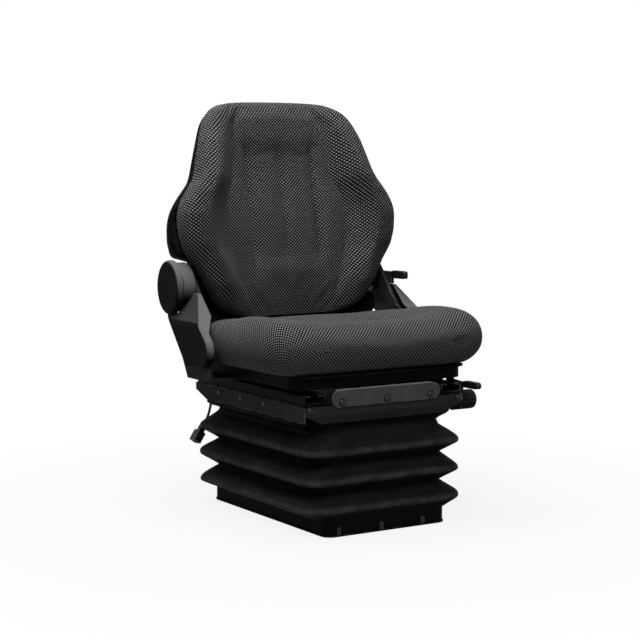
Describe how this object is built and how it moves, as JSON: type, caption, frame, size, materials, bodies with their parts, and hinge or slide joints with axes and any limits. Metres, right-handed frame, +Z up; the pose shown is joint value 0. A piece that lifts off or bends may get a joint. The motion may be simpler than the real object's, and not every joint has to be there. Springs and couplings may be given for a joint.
{
  "type": "tractor suspension seat",
  "caption": "Black fabric tractor seat with reclining back, slide rails and a bellows-covered scissor suspension on a flat bolt-down base.",
  "frame": {"origin": "middle of the four mounting holes, on the underside of the base plate", "axes": "+Z up, the seat faces -Y, +X to the sitting person's left"},
  "size_m": [0.5003, 0.4781, 0.7729],
  "materials": {
    "cover_cloth": "woven, dotted",
    "bellows_rubber": "matt",
    "stop_rubber": "matt",
    "black_plastic": "grained",
    "roller_plastic": "smooth",
    "lead_cover": "smooth",
    "black_paint": "satin",
    "dark_steel": "blackened",
    "bright_steel": "zinc plated"
  },
  "bodies": {
    "base": {"base_plate": "black_paint", "lower_tracks": "black_paint", "lower_pivots": "black_paint", "bump_stops": "stop_rubber", "damper_foot": "black_paint", "damper_tube": "black_paint", "bellows": "bellows_rubber", "skirt_clips": "dark_steel"},
    "top_frame": {"frame_top_plate": "black_paint", "frame_side_left": "black_paint", "frame_side_right": "black_paint", "frame_rear_plate": "black_paint", "front_panel": "black_paint", "front_cover_plate": "black_paint", "front_bolts": "dark_steel", "side_rivets": "dark_steel", "upper_tracks": "black_paint", "upper_pivots": "black_paint", "damper_rod": "bright_steel", "damper_dust_tube": "black_paint", "springs": "dark_steel", "lower_rail_left": "bright_steel", "lower_rail_right": "bright_steel", "lead_grommet": "stop_rubber", "lead": "lead_cover", "lead_connector": "lead_cover"},
    "outer_arms": {"outer_arms": "black_paint", "centre_pins": "bright_steel", "upper_axle": "bright_steel"},
    "inner_arms": {"inner_arms": "black_paint", "lower_axle": "bright_steel"},
    "upper_rollers": {"upper_rollers": "roller_plastic"},
    "lower_rollers": {"lower_rollers": "roller_plastic"},
    "adjuster": {"adjuster_shaft": "bright_steel", "weight_knob": "black_plastic"},
    "tension_yoke": {"tension_yoke": "black_paint"},
    "carriage": {"upper_rail_left": "bright_steel", "upper_rail_right": "bright_steel", "seat_pan": "black_paint", "pan_bolts": "dark_steel", "presence_switch": "black_plastic", "seat_cushion": "cover_cloth", "side_bracket_left": "black_paint", "side_bracket_right": "black_paint", "side_cover_left": "black_plastic", "side_cover_right": "black_plastic", "pivot_housing": "black_plastic", "pivot_cap": "black_plastic", "recline_discs": "dark_steel", "pivot_bolts": "dark_steel", "slide_lever_pin": "dark_steel"},
    "slide_lever": {"slide_lever": "black_paint", "slide_lever_grip": "black_plastic"},
    "backrest": {"hinge_plate_left": "black_paint", "hinge_plate_right": "black_paint", "cross_tubes": "black_paint", "back_shell": "black_plastic", "back_cushion": "cover_cloth"},
    "recline_lever": {"recline_lever": "black_paint", "recline_grip": "black_plastic"}
  },
  "joints": [
    {"name": "suspension_travel", "type": "slide", "parent": "base", "child": "top_frame", "axis": [0, 0, 1], "range_m": [-0.07, 0], "stiffness_N_per_m": 9000, "springref_m": 0.06, "deforming": ["bellows", "springs"]},
    {"name": "outer_arm_swing", "type": "hinge", "parent": "base", "child": "outer_arms", "pos_m": [0, -0.13, 0.0173], "axis": [1, 0, 0], "range_deg": [-14.2, 0]},
    {"name": "inner_arm_swing", "type": "hinge", "parent": "top_frame", "child": "inner_arms", "pos_m": [0, -0.13, 0.2187], "axis": [1, 0, 0], "range_deg": [0, 14.2]},
    {"name": "upper_roller_spin", "type": "hinge", "parent": "outer_arms", "child": "upper_rollers", "pos_m": [0, 0.13142, 0.2187], "axis": [1, 0, 0], "range_deg": [-250, 250]},
    {"name": "lower_roller_spin", "type": "hinge", "parent": "inner_arms", "child": "lower_rollers", "pos_m": [0, 0.13142, 0.0173], "axis": [1, 0, 0], "range_deg": [-250, 250]},
    {"name": "weight_adjust", "type": "hinge", "parent": "top_frame", "child": "adjuster", "pos_m": [0, -0.165, 0.2155], "axis": [1, 0, 0], "range_deg": [0, 150]},
    {"name": "yoke_draw", "type": "slide", "parent": "top_frame", "child": "tension_yoke", "axis": [0, -1, 0], "range_m": [0, 0.0051], "deforming": ["springs"]},
    {"name": "seat_slide", "type": "slide", "parent": "top_frame", "child": "carriage", "axis": [0, 1, 0], "range_m": [-0.075, 0.075]},
    {"name": "slide_release", "type": "hinge", "parent": "carriage", "child": "slide_lever", "pos_m": [0, -0.15, 0.25], "axis": [-1, 0, 0], "range_deg": [0, 10], "stiffness_Nm_per_rad": 0.6, "springref_deg": -14.32},
    {"name": "recline", "type": "hinge", "parent": "carriage", "child": "backrest", "pos_m": [0, 0.16, 0.421], "axis": [-1, 0, 0], "range_deg": [0, 20]},
    {"name": "recline_release", "type": "hinge", "parent": "carriage", "child": "recline_lever", "pos_m": [0, 0.16, 0.421], "axis": [-1, 0, 0], "range_deg": [0, 18], "stiffness_Nm_per_rad": 0.6, "springref_deg": -22.92}
  ],
  "couplings": [
    {"joint": "outer_arm_swing", "follows": "suspension_travel", "rad_per_m": 3.5273},
    {"joint": "inner_arm_swing", "follows": "suspension_travel", "rad_per_m": -3.5273},
    {"joint": "upper_roller_spin", "follows": "suspension_travel", "rad_per_m": 58.994},
    {"joint": "lower_roller_spin", "follows": "suspension_travel", "rad_per_m": -58.994},
    {"joint": "yoke_draw", "follows": "weight_adjust", "m_per_rad": 0.0019099}
  ]
}
